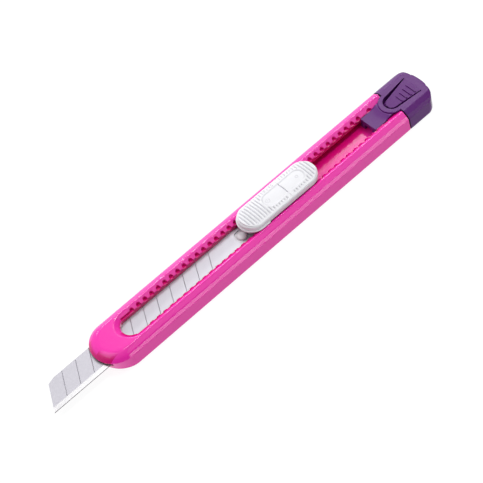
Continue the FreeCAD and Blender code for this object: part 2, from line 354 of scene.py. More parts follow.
def close_finish(maker, surface, **constants):
    """Sets the shader's plain values and joins it to the output."""
    shader = surface.socket.node
    for label, value in constants.items():
        shader.inputs[label.replace("_", " ")].default_value = value
    end = maker.tree.nodes.new("ShaderNodeOutputMaterial")
    maker.tree.links.new(surface.socket, end.inputs["Surface"])


def painted_shade_mask(make, place):
    """Painted shade: 1 on the slot's walls and the shaded half of the channel floor,
    0 on the top and sides.

    It goes by place alone, so the flat underside below that half of the floor is 1 as well.
    On the near side the funnel is shaded from 0.6 mm higher up.
    """
    split = make.node("ShaderNodeSeparateXYZ", None, {0: place}).socket.node
    y, z = (Wire(make, split.outputs[i]) for i in (1, 2))
    near_side = y < 0.0
    low = make.node("ShaderNodeMapRange", {"interpolation_type": "SMOOTHSTEP"}, {
        "Value": z - near_side * 0.6 * MM, "From Min": 5.75 * MM, "From Max": 4.9 * MM,
        "To Min": 0.0, "To Max": 1.0})
    shaded = make.node("ShaderNodeMapRange", {"interpolation_type": "SMOOTHSTEP"}, {
        "Value": y, "From Min": -2.5 * MM, "From Max": 2.5 * MM, "To Min": 0.0, "To Max": 1.0})
    walls = make.node("ShaderNodeMath", {"operation": "MAXIMUM"}, {0: z > 1.8 * MM, 1: shaded})
    return low * (abs(y) < 4.75 * MM) * walls


def groove_shade_mask(make, place):
    """Painted shade in the grooves, on the dish's wall, in the split line and in the marks, as the
    press tree stored it.
    """
    return make.node("ShaderNodeAttribute", {"attribute_name": "groove"}, out="Fac")


# painted shade: where the mask is 1, the colour turns to the darker one given, which stands for
# shade
def moulded_plastic(name, colour, roughness, grain, ior=1.49, shade_colour=None, mask=painted_shade_mask):
    finish, make = new_finish(name)
    place = make.node("ShaderNodeTexCoord", out="Object")
    fine = make.node("ShaderNodeTexNoise", None, {"Vector": place, "Scale": 4200.0, "Detail": 2.0})
    broad = make.node("ShaderNodeTexNoise", None, {"Vector": place, "Scale": 90.0, "Detail": 2.0})
    normal = make.node("ShaderNodeBump", None,
                       {"Strength": grain, "Distance": 0.00002, "Height": fine})
    if shade_colour:
        colour = make.node("ShaderNodeMix", {"data_type": "RGBA"}, {
            0: mask(make, place), 6: colour, 7: shade_colour}, out=2)
    surface = make.node("ShaderNodeBsdfPrincipled", None, {
        "Base Color": colour, "Roughness": roughness + (broad - 0.5) * 0.06, "Normal": normal})
    close_finish(make, surface, IOR=ior)
    return finish


# the pink's darker red is painted shade inside the slot
pink = moulded_plastic("pink_plastic", (0.95, 0.030, 0.44, 1), 0.13, 0.10,
                       shade_colour=(0.70, 0.003, 0.19, 1))
purple = moulded_plastic("purple_plastic", (0.115, 0.017, 0.178, 1), 0.22, 0.15, ior=1.3)
# the white's grey is painted shade in the button's grooves
white = moulded_plastic("white_plastic", (0.84, 0.84, 0.875, 1), 0.42, 0.10,
                        shade_colour=(0.42, 0.40, 0.46, 1), mask=groove_shade_mask)
pale = moulded_plastic("pale_plastic", (0.82, 0.80, 0.84, 1), 0.3, 0.1)
# painted shade: two near-black finishes for faces that look into a gap, the blade's slit and the
# cap's seam
slit_shade = moulded_plastic("slit_shade", (0.05, 0.001, 0.015, 1), 0.6, 0.1)
seam_shade = moulded_plastic("seam_shade", (0.012, 0.002, 0.018, 1), 0.6, 0.1)
print("plastics:", pink.name, purple.name, white.name, pale.name)

# %% [markdown]
# The blade is ground steel. Grinding leaves fine scratches across the strip, so the grain
# is a noise that is stretched along Y. The bevel is polished finer than the faces. The
# narrow second bevel at the cutting edge carries a painted reflection: it is made dark
# steel, for the dark line that such an edge shows.

# %% Ground steel
def ground_steel(name, colour, roughness, stretch):
    finish, make = new_finish(name)
    place = make.node("ShaderNodeTexCoord", out="Object")
    drawn = make.node("ShaderNodeMapping", {"vector_type": "POINT"},
                      {"Vector": place, "Scale": stretch})
    scratch = make.node("ShaderNodeTexNoise", None, {"Vector": drawn, "Scale": 1.0, "Detail": 3.0})
    normal = make.node("ShaderNodeBump", None,
                       {"Strength": 0.25, "Distance": 0.00001, "Height": scratch})
    surface = make.node("ShaderNodeBsdfPrincipled", None, {
        "Base Color": colour, "Roughness": roughness + (scratch - 0.5) * 0.1, "Normal": normal})
    close_finish(make, surface, Metallic=0.85)
    return finish


steel = ground_steel("blade_steel", (0.53, 0.518, 0.565, 1), 0.42, (5000.0, 900.0, 5000.0))
polished = ground_steel("polished_bevel", (0.93, 0.92, 0.94, 1), 0.25, (2000.0, 900.0, 2000.0))
# painted reflection: a dark steel for the narrow second bevel at the cutting edge
edge_dark_reflection = ground_steel("edge_dark_reflection_steel", (0.20, 0.16, 0.19, 1), 0.4, (2000.0, 900.0, 2000.0))
spring = ground_steel("spring_steel", (0.62, 0.61, 0.62, 1), 0.3, (900.0, 900.0, 5000.0))

# %% [markdown]
# A finished piece gets smooth shading with sharp edges kept, its finish, and its place in
# metres. Then it rides on its CAD body and stands for the CAD parts that it shows.

# %% Finish a piece
def soften(obj, angle=32):
    """Smooth shading, with edges above the angle kept sharp and flat faces kept flat."""
    work = bmesh.new()
    work.from_mesh(obj.data)
    for face in work.faces:
        face.smooth = True
    for edge in work.edges:
        edge.smooth = edge.calc_face_angle(math.pi) < math.radians(angle)
    work.to_mesh(obj.data)
    work.free()
    obj.modifiers.new("normals", "WEIGHTED_NORMAL").keep_sharp = True
    return settle(obj)


def shade_faces(obj, finish, chosen):
    """Gives a second finish to the faces that a rule picks by centre and normal, in mm."""
    obj.data.materials.append(finish)
    for face in obj.data.polygons:
        if chosen(face.center / MM, face.normal):
            face.material_index = len(obj.data.materials) - 1


def place(obj, finish, body, slot, *nodes):
    obj.data.materials.clear()
    obj.data.materials.append(finish)
    obj.data.polygons.foreach_set("material_index", [0] * len(obj.data.polygons))
    obj.data.transform(Matrix.Scale(MM, 4))
    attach(obj, body)
    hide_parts(*nodes)
    obj.data.calc_loop_triangles()
    print(obj.name, len(obj.data.loop_triangles), "triangles")
    return obj


# %% [markdown]
# The handle's outside has flat sides that lean in, a chamfer in two steps, and a flat top.
# At the nose the same outline swings round in a half circle and its steps melt into one
# soft curve. The nose also leans back below the blade. So the shell is lofted: each
# station along the outline carries the section, blended from crisp to soft.

# %% Outer section, crisp and soft
section_corners = [(3.0, 0), (7.992, 0), (7.4, 4.5), (6.55, 5.45), (5.1, top_z), (3.9, top_z)]
crisp = fillet(section_corners, [0.7, 0.3, 0.4, 0.5])
soft = fillet(section_corners, [0.7, 0.5, 3.2, 3.2])


def smoothstep(low, high, value):
    t = min(max((value - low) / (high - low), 0), 1)
    return t * t * (3 - 2 * t)


def section_at(run):
    """Section for a place this far behind the nose's centre; negative is round the nose."""
    share = smoothstep(-3.5, 5.0, run)
    return [a.lerp(b, share) for a, b in zip(soft, crisp)]


# %% Handle shell
nose_rake = 1.6
foot_round = 0.5


def rake_reach(turn, z):
    """How far the leaning front lets the shell reach from the nose's centre."""
    centre = nose_x + nose_rake + side_half - nose_rake / blade_top * z
    gap = nose_centre - centre
    reach = gap * math.cos(turn) + math.sqrt(side_half ** 2 - (gap * math.sin(turn)) ** 2)
    if z < foot_round:
        reach += math.sqrt(foot_round ** 2 - (foot_round - z) ** 2) - foot_round
    return reach


def handle_station(turn, side):
    """Points up the shell where the outline has turned this far from the front."""
    points = []
    for width, z in section_at((turn - math.pi / 2) * side_half):
        out = min(width, rake_reach(turn, z))
        points.append((nose_centre - out * math.cos(turn), side * out * math.sin(turn), z))
    return points


def straight_station(x, side):
    return [(x, side * width, z) for width, z in section_at(x - nose_centre)]


turns = [math.pi / 2 * i / 40 for i in range(1, 41)]
runs = [nose_centre + run for run in (1, 2, 3, 4, 5)] + [seam_x]
right = [handle_station(turn, -1) for turn in turns] + [straight_station(x, -1) for x in runs]
left = [handle_station(turn, 1) for turn in turns] + [straight_station(x, 1) for x in runs]
stations = right[::-1] + [handle_station(0, 1)] + left


def shell(name, stations):
    """Closes a fence of stations with a bottom, a top and a rear end."""
    count = len(stations[0])
    corners = [p for station in stations for p in station]
    last = len(stations) - 1
    faces = [[i * count + k, (i + 1) * count + k, (i + 1) * count + k + 1, i * count + k + 1]
             for i in range(last) for k in range(count - 1)]
    faces.append([i * count for i in range(last + 1)])
    faces.append([i * count + count - 1 for i in range(last, -1, -1)])
    faces.append(list(range(count)) + [last * count + k for k in range(count - 1, -1, -1)])
    return mesh_object(name, corners, faces)


handle = shell("handle_body", stations)
print("shell stations:", len(stations))

# %% [markdown]
# The slot widens upwards like a funnel, and its rim is rolled over. One loft makes the
# whole opening: each level is a U that runs from the round front end out past the seam.
# The roll is a little wider round the front than along the sides. The channel for the
# blade's carrier and the slit for the blade are plain boxes, cut lower down. The slit is
# 0.42 mm higher than in the CAD, so that it reads as a dark line from above the nose.

# %% Slot and channel
slot_x = -51.05
channel_front = -54.95
slit_rear, slit_half = -54.45, channel_half + 0.3
slit_floor, slit_top = blade_z - 0.1, 4.2
side_roll, front_roll = 1.3, 1.6


def funnel_levels(roll):
    corners = [(slot_half, lip_z - over), (slot_half, lip_top), (rim_half, top_z),
               (rim_half + 1.2, top_z), (rim_half + 1.2, top_z + over)]
    line = fillet(corners[:4], [0.25, roll])
    return line[:-1] + [Vector((rim_half + 0.8, top_z + 0.01)), Vector((rim_half + 0.8, 7.5))]


def slot_tool():
    steps = 48
    columns = []
    for i in range(steps + 1):
        turn = math.pi * (i / steps - 0.5)
        levels = funnel_levels(side_roll + (front_roll - side_roll) * math.cos(turn) ** 2)
        columns.append([(slot_x - half * math.cos(turn), half * math.sin(turn), z)
                        for half, z in levels])
    first = [(seam_x + over, y, z) for x, y, z in columns[0]]
    final = [(seam_x + over, y, z) for x, y, z in columns[-1]]
    columns = [first] + columns + [final]
    rings = [[column[k] for column in columns] for k in range(len(first))]
    return loft("slot tool", rings)


combine(handle, slot_tool(), "DIFFERENCE", "EXACT")
combine(handle, box("channel", channel_front, seam_x + over, -channel_half, channel_half,
                    floor_z, lip_z), "DIFFERENCE", "EXACT")
combine(handle, box("slit", nose_x - 1, slit_rear, -slit_half, slit_half,
                    slit_floor, slit_top), "DIFFERENCE", "EXACT")
print("slot cut,", len(handle.data.polygons), "faces")

# %% [markdown]
# The rack is a row of pockets with round backs, one every 2.5 mm on both sides, and the
# spring on the slider drops into them. This is a repeat, so Geometry Nodes make the
# tool: a round bar joined to a block is one pocket, and a line of copies is the rack.
# The same tree, run once more with other sizes, makes the pocket that latches the cap,
# and a shallow recess in front of the rack lets the spring past the slot's end.

# %% Rack of notches
notch_z, notch_height = 4.88, 2.2
rack_x, rack_root = -47.65, slot_half - over
recess_length, recess_depth = 4.3, 0.57
latch_x = 46.75

pocket = Repeat("pocket row", Count=37, Pitch=2.5, Width=1.4, Reach=1.53, Height=notch_height)
radius = pocket.size("Width") / 2
bar = pocket.node("GeometryNodeMeshCylinder", None, {
    "Vertices": 32, "Radius": radius, "Depth": pocket.size("Height")})
bar = pocket.move(bar, 0.0, pocket.size("Reach") - radius, 0.0)
block = pocket.node("GeometryNodeMeshCube", None, {
    "Size": pocket.point(pocket.size("Width"), pocket.size("Reach") - radius,
                         pocket.size("Height"))})
block = pocket.move(block, 0.0, (pocket.size("Reach") - radius) / 2, 0.0)
both = pocket.node("GeometryNodeMeshBoolean", {"operation": "UNION", "solver": "EXACT"},
                   {"Mesh 2": [bar, block]})
pocket.finish(pocket.row(both, pocket.size("Count"), pocket.size("Pitch")), pink)

rack_tool = pocket.run("rack tool")
rack_tool.data.transform(Matrix.Translation((rack_x, rack_root, notch_z + notch_height / 2)))
latch_tool = pocket.run("latch tool", Count=1, Width=2.0, Reach=1.3)
latch_tool.data.transform(Matrix.Translation((latch_x, rack_root, notch_z + notch_height / 2)))
recess = box("recess", rack_x - recess_length, rack_x, rack_root, slot_half + recess_depth,
             notch_z, top_z + 0.65)
for tool in (rack_tool, recess, latch_tool):
    for side_tool in mirror_tool(tool):
        combine(handle, side_tool, "DIFFERENCE", "EXACT")
print("rack cut,", len(handle.data.polygons), "faces")

# %% [markdown]
# All the cuts are made before any edge is rounded, so that one bevel softens every edge
# alike. The two faces inside the blade's slit get a near-black finish, painted shade,
# because a slit this thin looks nearly black on a real knife.

# %% Soft edges and finish for the handle
round_edges(handle, 0.07)
soften(handle)
place(handle, pink, "handle", "handle_plastic", "handle_body")
shade_faces(handle, slit_shade, lambda spot, way: (
    spot.x < slit_rear - 0.05 and slit_floor - 0.01 < spot.z < slit_top + 0.01
    and abs(spot.y) < channel_half and abs(way.z) > 0.9))

# %% [markdown]
# The cap has the handle's section, a rounded rear, and a top plate with a round front that
# fills the end of the slot. Below that plate a ramp leads down to a flat tongue, and two
# rails and a plug hold the cap in the channel. The block is the section cut to a plan,
# and the plan is lofted, so that its rear edge can be rolled and lean a little. The seam
# is 0.45 mm wide, against 0.05 mm in the CAD. It reads as a dark line from the side, but
# from straight above the floor shows through it.

# %% Cap block
seam_gap = 0.45
cap_lean = 0.4
cap_bulge = 0.5
cap_corner = 5.0


def cap_plan(inset, shift):
    """Rear outline of the cap: two round corners and a bowed end."""
    corner_x = end_x - cap_bulge
    centre_y = side_half - cap_corner
    quarter = [math.pi / 2 * i / 12 for i in range(13)]
    turn = [(corner_x - cap_corner + (cap_corner - inset) * math.sin(t),
             centre_y + (cap_corner - inset) * math.cos(t)) for t in quarter]
    bow = [(corner_x - inset + cap_bulge * math.cos(math.pi / 2 * i / 6) ** 0.8,
            centre_y * math.sin(math.pi / 2 * i / 6)) for i in range(5, 0, -1)]
    half = [(seam_x - 2, side_half - inset)] + turn + bow
    tip = [(end_x - inset, 0)]
    outline = half + tip + [(x, -y) for x, y in half[::-1]]
    return [(x + shift, y) for x, y in outline]


def cap_block():
    section = [(y, z) for y, z in crisp] + [(-y, z) for y, z in crisp[::-1]]
    block = loft("end_cap", [[(x, y, z) for y, z in section]
                             for x in (seam_x + seam_gap, end_x + cap_lean + over)])
    edge = 0.45
    levels = []
    for i in range(7):
        turn = math.pi / 2 * i / 6
        levels.append((edge - edge * math.sin(turn), edge - edge * math.cos(turn)))
    levels += [(inset, top_z - z) for inset, z in levels[::-1]]
    rings = [[(x, y, z) for x, y in cap_plan(inset, cap_lean * (1 - z / top_z))]
             for inset, z in levels]
    return combine(block, loft("cap plan", rings), "INTERSECT")


cap = cap_block()
print("cap block,", len(cap.data.polygons), "faces")

# %% [markdown]
# What goes into the handle is plain solids, so each is a box or a short loft joined to the
# block. They run on a little way into the block, because solids that only touch join
# badly. A collar just behind the seam closes the view through it into the channel.

# %% Plate, ramp, tongue, rails and plug
plate_x = seam_x + 0.4
join_x = seam_x + 3.1
tongue_x = seam_x - 9.3
tongue_z, tongue_top = 3.68, 5.18
tongue_half = slot_half - 0.1
ramp_foot, ramp_head = 6.4, rim_half - 0.25
rail_width = 1.6
collar_half = plug_half + 0.1


def round_fronted(name, centre, x_end, levels, steps=48):
    """A bar with a half-round front; levels gives its half width at each height."""
    rings = []
    for half, z in levels:
        arc = [(centre - half * math.cos(math.pi * (i / steps - 0.5)),
                half * math.sin(math.pi * (i / steps - 0.5)), z) for i in range(steps + 1)]
        rings.append(arc + [(x_end, half, z), (x_end, -half, z)])
    return loft(name, rings)


plate_edge = fillet([(tongue_half, lip_top), (rim_half - 0.1, top_z), (3.5, top_z)], [0.3])
combine(cap, round_fronted("plate", plate_x, join_x, [tuple(p) for p in plate_edge]), "UNION")
ramp_levels = [(ramp_foot, tongue_top - 0.1), (ramp_foot, tongue_top), (ramp_head, top_z - 0.35)]
ramp = loft("ramp", [[(x, y, z) for x, y in circle(plate_x, 0, reach, 96)]
                     for reach, z in ramp_levels])
combine(ramp, box("ramp width", tongue_x, join_x, -tongue_half, tongue_half, tongue_z, top_z),
        "INTERSECT")
combine(cap, ramp, "UNION")
combine(cap, box("tongue", tongue_x, join_x, -tongue_half, tongue_half, tongue_z, tongue_top),
        "UNION")
for y in (-tongue_half, tongue_half - rail_width):
    combine(cap, box("rail", tongue_x, join_x, y, y + rail_width, foot_z, tongue_z + over),
            "UNION")
combine(cap, box("collar", seam_x + 0.05, join_x, -collar_half, collar_half,
                 foot_z, top_z - 0.8), "UNION")
combine(cap, box("plug", seam_x - 4.7, join_x, -plug_half, plug_half,
                 foot_z, lip_z - 0.1), "UNION")
print("cap with its tongue,", len(cap.data.polygons), "faces")

# %% [markdown]
# The thumb pad is a petal that springs at its wide end. A deep groove frees it on three
# sides, it rises from its low front to the plate, and four ribs grow wider to the rear.
# The ribs are a Geometry Nodes row whose copies are stretched by their place in the row.
# The last three stand up to 0.24 mm above the plate, and in the CAD none does.

# %% Thumb pad and its ribs
pad_x = seam_x - 1.1
pad_end = pad_x + 10.6
pad_front, pad_rear = 1.9, 3.3
moat_front, moat_rear, moat_depth = pad_front + 0.9, pad_rear + 0.35, 2.2
slant_x, slant_drop, slant_end_drop = pad_x - 1, 0.62, 0.02
first_rib_x = pad_x + 4.3


def petal(name, front, rear, z0):
    centre = pad_x + pad_front
    arc = [math.pi / 2 + math.pi * i / 32 for i in range(33)]
    outline = [(centre + front * math.cos(t), front * math.sin(t)) for t in arc]
    return prism(name, outline + [(pad_end, -rear), (pad_end, rear)], z0, top_z + over)


moat = combine(petal("moat", moat_front, moat_rear, top_z - moat_depth),
               petal("pad", pad_front, pad_rear, 0), "DIFFERENCE")
combine(cap, moat, "DIFFERENCE")
slant = loft("slant", [[(slant_x, y, top_z - slant_drop), (pad_end, y, top_z - slant_end_drop),
                        (pad_end, y, top_z + 1), (slant_x, y, top_z + 1)] for y in (-5, 5)])
combine(slant, petal("pad top", pad_front, pad_rear, 0), "INTERSECT")
combine(cap, slant, "DIFFERENCE")

ribs = Repeat("pad ribs", Count=4, Pitch=1.63, Width=0.4, Height=0.75, First=2.7, Growth=0.42)
bar = ribs.node("GeometryNodeMeshCube", None,
                {"Size": ribs.point(ribs.size("Width"), 1.0, ribs.size("Height"))})
place_in_row = ribs.node("GeometryNodeInputIndex")
stretch = ribs.point(1.0, ribs.size("First") + place_in_row * ribs.size("Growth"), 1.0)
ribs.finish(ribs.row(bar, ribs.size("Count"), ribs.size("Pitch"), stretch), purple)
pad_ribs = ribs.run("pad ribs")
slant_rise = (slant_drop - slant_end_drop) / (pad_end - slant_x)
pad_tilt = Matrix.Rotation(-math.atan(slant_rise), 4, "Y")
pad_ribs.data.transform(Matrix.Translation((first_rib_x, -0.75, top_z - 0.40)) @ pad_tilt)
round_edges(cap, 0.14)
combine(cap, pad_ribs, "UNION")
soften(cap)
place(cap, purple, "cap", "cap_plastic", "end_cap")
# painted shade: the cap's front faces at the seam take the near-black seam finish
shade_faces(cap, seam_shade, lambda spot, way: (
    way.x < -0.5 and abs(spot.x - seam_x - seam_gap) < 0.12
    and (way.x < -0.99 or abs(spot.y) > rim_half)))

# %% [markdown]
# The thumb button is a crowned pebble with a dish in its middle. Soft grooves run across
# both ends and beside the dish. The smooth pebble is lofted with a dense grid on top, and
# a Geometry Nodes tree then presses the grooves, the dish and the moulding marks into it,
# because that keeps every groove following the crown.

# %% Smooth button
button_x, button_length, button_half = -8.45, 29.0, 4.4
button_z, button_top, crown = 6.5, 9.0, 14.0
edge_roll = 0.5
foot_end, foot_out = button_x + 7.2, 0.35
row_step = 0.1


# %% Outline of the button, seen from above
def crown_z(y):
    return button_top - crown + math.sqrt(crown ** 2 - y ** 2)


def button_rows():
    """Places along X for the grid: close together at the two round ends."""
    inner = button_half - edge_roll
    bend = [button_x + button_half - inner * math.cos(math.pi / 2 * i / 44) for i in range(45)]
    last = 2 * button_x + button_length
    count = round((last - 2 * bend[-1]) / row_step)
    middle = [bend[-1] + (last - 2 * bend[-1]) * i / count for i in range(1, count)]
    return bend + middle + [last - x for x in bend[::-1]]


def button_ring_point(x, inset):
    """Moves a point of the inner outline out to the outline with this inset."""
    inner = button_half - edge_roll
    front, rear = button_x + button_half, button_x + button_length - button_half
    centre = min(max(x, front), rear)
    cosine = (x - centre) / inner
    reach = button_half - inset
    return centre + reach * cosine, reach * math.sqrt(max(1 - cosine ** 2, 0))


# %% Side wall and faces of the button
def button_side(x):
    """Inset and height down the wall: rolled edge, wall, and the wider foot at the front."""
    top_edge = crown_z(button_half - edge_roll)
    line = [(edge_roll * (1 - math.sin(t)), top_edge - edge_roll * (1 - math.cos(t)))
            for t in [math.pi / 2 * i / 6 for i in range(1, 7)]]
    foot = -foot_out if x < foot_end else 0.0
    return line + [(0.0, button_z + 0.62), (foot * 0.3, button_z + 0.52),
                   (foot, button_z + 0.42), (foot, button_z + 0.05), (foot + 0.05, button_z)]


def smooth_button():
    columns = 72
    rows = button_rows()
    corners, faces, grid = [], [], []
    for x in rows:
        _, half = button_ring_point(x, edge_roll)
        line = []
        for j in range(columns + 1):
            y = half * (1 - 2 * j / columns)
            line.append(len(corners))
            corners.append((x, y, crown_z(y)))
        grid.append(line)
    walls = []
    for side in (1, -1):
        fence = []
        for i, x in enumerate(rows):
            post = [grid[i][0 if side == 1 else columns]]
            for inset, z in button_side(x):
                out_x, out_y = button_ring_point(x, inset)
                post.append(len(corners))
                corners.append((out_x, side * out_y, z))
            fence.append(post)
        walls.append(fence)
    for i in range(len(rows) - 1):
        for j in range(columns):
            faces.append([grid[i][j], grid[i][j + 1], grid[i + 1][j + 1], grid[i + 1][j]])
        for fence in walls:
            for k in range(len(fence[0]) - 1):
                faces.append([fence[i][k], fence[i + 1][k], fence[i + 1][k + 1], fence[i][k + 1]])
    faces.append([post[-1] for post in walls[0]] + [post[-1] for post in walls[1][::-1]])
    return closed_button(corners, faces)


def closed_button(corners, faces):
    button = mesh_object("slider_button", corners, faces)
    work = bmesh.new()
    work.from_mesh(button.data)
    bmesh.ops.dissolve_degenerate(work, edges=work.edges, dist=1e-5)
    work.to_mesh(button.data)
    work.free()
    return face_outwards(button)


button = smooth_button()
print("smooth button,", len(button.data.polygons), "faces")

# %% Sizes and helpers of the press
press = Repeat("button press", Pitch=1.0, Depth=0.22, Dish_front=0.85, Dish_end=16.35,
               Dish_half=2.4, Dish_depth=0.2, Split=split_x, Rim=crown_z(3.9) - 0.02)
front_post, rear_post = split_x - 6.1, split_x + 5.4
first_rib_end, last_rib_end = button_x + 0.9, 20.2
spot = press.node("GeometryNodeInputPosition")
split_node = press.node("ShaderNodeSeparateXYZ", None, {0: spot})
px, py, pz = (Wire(press, split_node.socket.node.outputs[i]) for i in range(3))


def between(value, low, high):
    """0 below low, 1 above high, and a soft step between them."""
    return press.node("ShaderNodeMapRange", {"interpolation_type": "SMOOTHSTEP"}, {
        "Value": value, "From Min": low, "From Max": high, "To Min": 0.0, "To Max": 1.0})


def stadium_distance(front, end, half):
    """Distance outside a round-ended outline; negative inside it."""
    inside_x = px.math("MINIMUM", px.math("MAXIMUM", px, front + half), end - half)
    dx = px - inside_x
    return px.math("SQRT", dx * dx + py * py) - half


# %% [markdown]
# The tree first works out how deep each groove is at every point of the pebble's top, as
# sums of soft steps, and then moves the point down by that much. It also stores a share
# between 0 and 1 under the name "groove": painted shade, by which the white finish darkens
# in the grooves, on the dish's wall, in the split line and in the marks, because grooves
# this shallow hardly show on white under soft light.

# %% Depth of the ribs, the dish and the line across it
dish_line = stadium_distance(press.size("Dish_front"), press.size("Dish_end"),
                             press.size("Dish_half"))
edge_line = stadium_distance(button_x, button_x + button_length, button_half)
wave = px.math("COSINE", px * (2 * math.pi) / press.size("Pitch")) * 0.5 + 0.5
wave = wave * wave * wave * wave
on_sides = between(dish_line, 0.35, 0.55)
within = 1 - between(edge_line, -0.8, -0.6)
off_split = between(abs(px - press.size("Split")), 0.9, 1.1)
ends = between(px, first_rib_end, first_rib_end + 0.2)
ends = ends * (1 - between(px, last_rib_end, last_rib_end + 0.1))
ribbed = wave * on_sides * within * off_split * ends
grooves = ribbed * press.size("Depth")
dish = (1 - between(dish_line, -0.45, 0.15)) * press.size("Dish_depth")
dish_wall = 1 - between(abs(dish_line + 0.15), 0.05, 0.38)
split_depth = 0.05 + (1 - between(dish_line, -0.5, -0.2)) * 0.12
split_line = (1 - between(abs(px - press.size("Split")), 0.05, 0.2)) * split_depth


# %% Ends of the two posts, then the press itself
def ring_mark(x, radius, dot):
    from_centre = px.math("SQRT", (px - x) * (px - x) + py * py)
    ring = 1 - between(abs(from_centre - radius), 0.04, 0.2)
    return (ring + (1 - between(from_centre, 0.08, 0.22)) * dot) * 0.07


marks = ring_mark(front_post, 0.62, 1.0) + ring_mark(rear_post, 0.42, 0.0)
down = grooves + dish + split_line + marks
# painted shade: how much the white finish darkens in the grooves, on the dish's wall, in the split
# line and in the marks
shade = ribbed * 0.75 + dish_wall * 0.25 + split_line * 6.0 + marks * 5.0
on_top = pz > press.size("Rim")
moved = press.node("GeometryNodeSetPosition", None, {
    "Geometry": press.size("Mesh"), "Selection": on_top,
    "Offset": press.point(0.0, 0.0, -down)})
stored = press.node("GeometryNodeStoreNamedAttribute", {"data_type": "FLOAT", "domain": "POINT"}, {
    "Geometry": moved, "Name": "groove", "Value": press.math_min(shade * on_top, 1.0)})
press.finish(stored, white)
press.run("press", button)
soften(button, 50)
place(button, white, "slider", "button_plastic", "slider_button")

# %% [markdown]
# The blade is a strip cut on the slant, with its edge ground from both faces. Lines are
# scored across it every 5 mm so that a worn tip can be snapped off. A score is a sharp V,
# so a three-sided bar is swept along one slanted line and repeated down the strip.

# %% Blade strip
blade_length, blade_half = 80.0, 4.5
slope = 1 / math.tan(math.radians(60))
bevel_width = 1.5
hone_width = 0.14
clip_down, clip_along = 0.7, 2.1
hole_radius = 2.15
segment = 5.0
bevel_top, hone_top = bevel_width - blade_half, hone_width - blade_half


def blade_front(y):
    return tail_x - blade_length - (blade_half - y) * slope


def blade_ring(shift):
    middle = (blade_z + blade_top) / 2
    upper = [(blade_half, blade_top - 0.03), (blade_half - 0.03, blade_top),
             (bevel_top, blade_top), (hone_top, middle + 0.09)]
    lower = [(y, 2 * middle - z) for y, z in upper[::-1]]
    section = upper + [(-blade_half, middle)] + lower
    return [(blade_front(y) + shift, y, z) for y, z in section]


blade = loft("snap_blade", [blade_ring(0), blade_ring(blade_length)])
clip_y = blade_half - clip_down
corner = [(blade_front(clip_y), clip_y), (blade_front(blade_half) + clip_along, blade_half),
          (blade_front(blade_half), blade_half + 1.5), (blade_front(clip_y) - 2.0, clip_y + 0.2)]
for tool_name, plan in (("corner", corner), ("hole", circle(pin_x, 0, hole_radius))):
    combine(blade, prism(tool_name, plan, blade_z - 0.3, blade_top + 0.32), "DIFFERENCE")

# %% [markdown]
# Each score runs from the spine to where the bevel starts, and leaves the cutting edge
# whole. The swept bar starts beyond the spine, so that it cuts the edge of the strip too.

# %% Score lines
score = Repeat("score lines", Count=12, Pitch=segment, Width=0.34, Length=9.15, Slant=30.0)
line = score.node("GeometryNodeCurvePrimitiveLine", None, {
    "Start": (0, 0, 0), "End": score.point(0.0, -score.size("Length"), 0.0)})
profile = score.node("GeometryNodeCurvePrimitiveCircle", None,
                     {"Resolution": 3, "Radius": score.size("Width") / 2})
swept = score.node("GeometryNodeCurveToMesh", None,
                   {"Curve": line, "Profile Curve": profile, "Fill Caps": True})
turned = score.node("GeometryNodeTransform", None, {
    "Geometry": swept, "Rotation": score.point(0.0, 0.0, -score.size("Slant") * math.pi / 180)})
score.finish(score.row(turned, score.size("Count"), score.size("Pitch")), steel)
score_tool = score.run("score tool")
first_score = blade_front(blade_half) + segment + over * slope
score_tool.data.transform(Matrix.Translation((first_score, blade_half + over, blade_top + 0.02)))
print("score lines:", score_tool.name, len(score_tool.data.vertices), "corners")
face_outwards(score_tool)
combine(blade, score_tool, "DIFFERENCE")
soften(blade, 3)
place(blade, steel, "slider", "blade_steel", "snap_blade")
shade_faces(blade, polished, lambda spot, way: spot.y < bevel_top and abs(way.z) > 0.3)
# painted reflection: the faces of the second bevel take the dark edge steel
shade_faces(blade, edge_dark_reflection, lambda spot, way: spot.y < hone_top and abs(way.z) > 0.3)

# %% [markdown]
# Under the button, the carrier holds the blade: a plate below it with a domed pin through
# its hole, and a neck that rises between the ledges. Only the pin shows. It is 0.1 mm
# smaller in radius than in the CAD and 0.11 mm taller, with a deep crescent cut in the
# plate on one side of it that the CAD doesn't have. The detent spring is a thin steel loop
# threaded over the carrier's waist, with a nose on each side.

# %% Blade carrier
carrier_rear = 18.55
neck_half = slot_half - 0.25
neck_front = tail_x - (blade_half - neck_half) * slope + 0.4
waist_x, waist_reach, waist_half = detent_x + 0.6, 7.0, 2.3
post_radius = 0.6
pin_radius, pin_dome_z, pin_dome = 1.5, 3.75, 0.6

carrier = box("blade_carrier", pin_x - 2.75, carrier_rear, -blade_half, blade_half,
              foot_z, blade_z)
combine(carrier, box("heel", tail_x + 0.2, carrier_rear, -blade_half, blade_half,
                     foot_z + 0.1, blade_top), "UNION")
combine(carrier, box("neck", neck_front, carrier_rear - 0.2, -neck_half, neck_half,
                     foot_z + 0.2, 5.0), "UNION")
waist_plan = stadium(waist_x - waist_reach, waist_x + waist_reach, waist_half)
combine(carrier, prism("waist", waist_plan, 4.5, button_z), "UNION")
for x in (front_post, rear_post):
    combine(carrier, prism("post", circle(x, 0, post_radius), 6.0, 8.4), "UNION")


def pin():
    """A round pin with a domed head."""
    rise = [math.pi / 2 * i / 10 for i in range(1, 10)]
    dome = [(pin_radius, 2.0), (pin_radius, pin_dome_z)] + [
        (pin_radius * math.cos(t), pin_dome_z + pin_dome * math.sin(t)) for t in rise]
    return loft("pin", [[(x, y, z) for x, y in circle(pin_x, 0, r)] for r, z in dome])


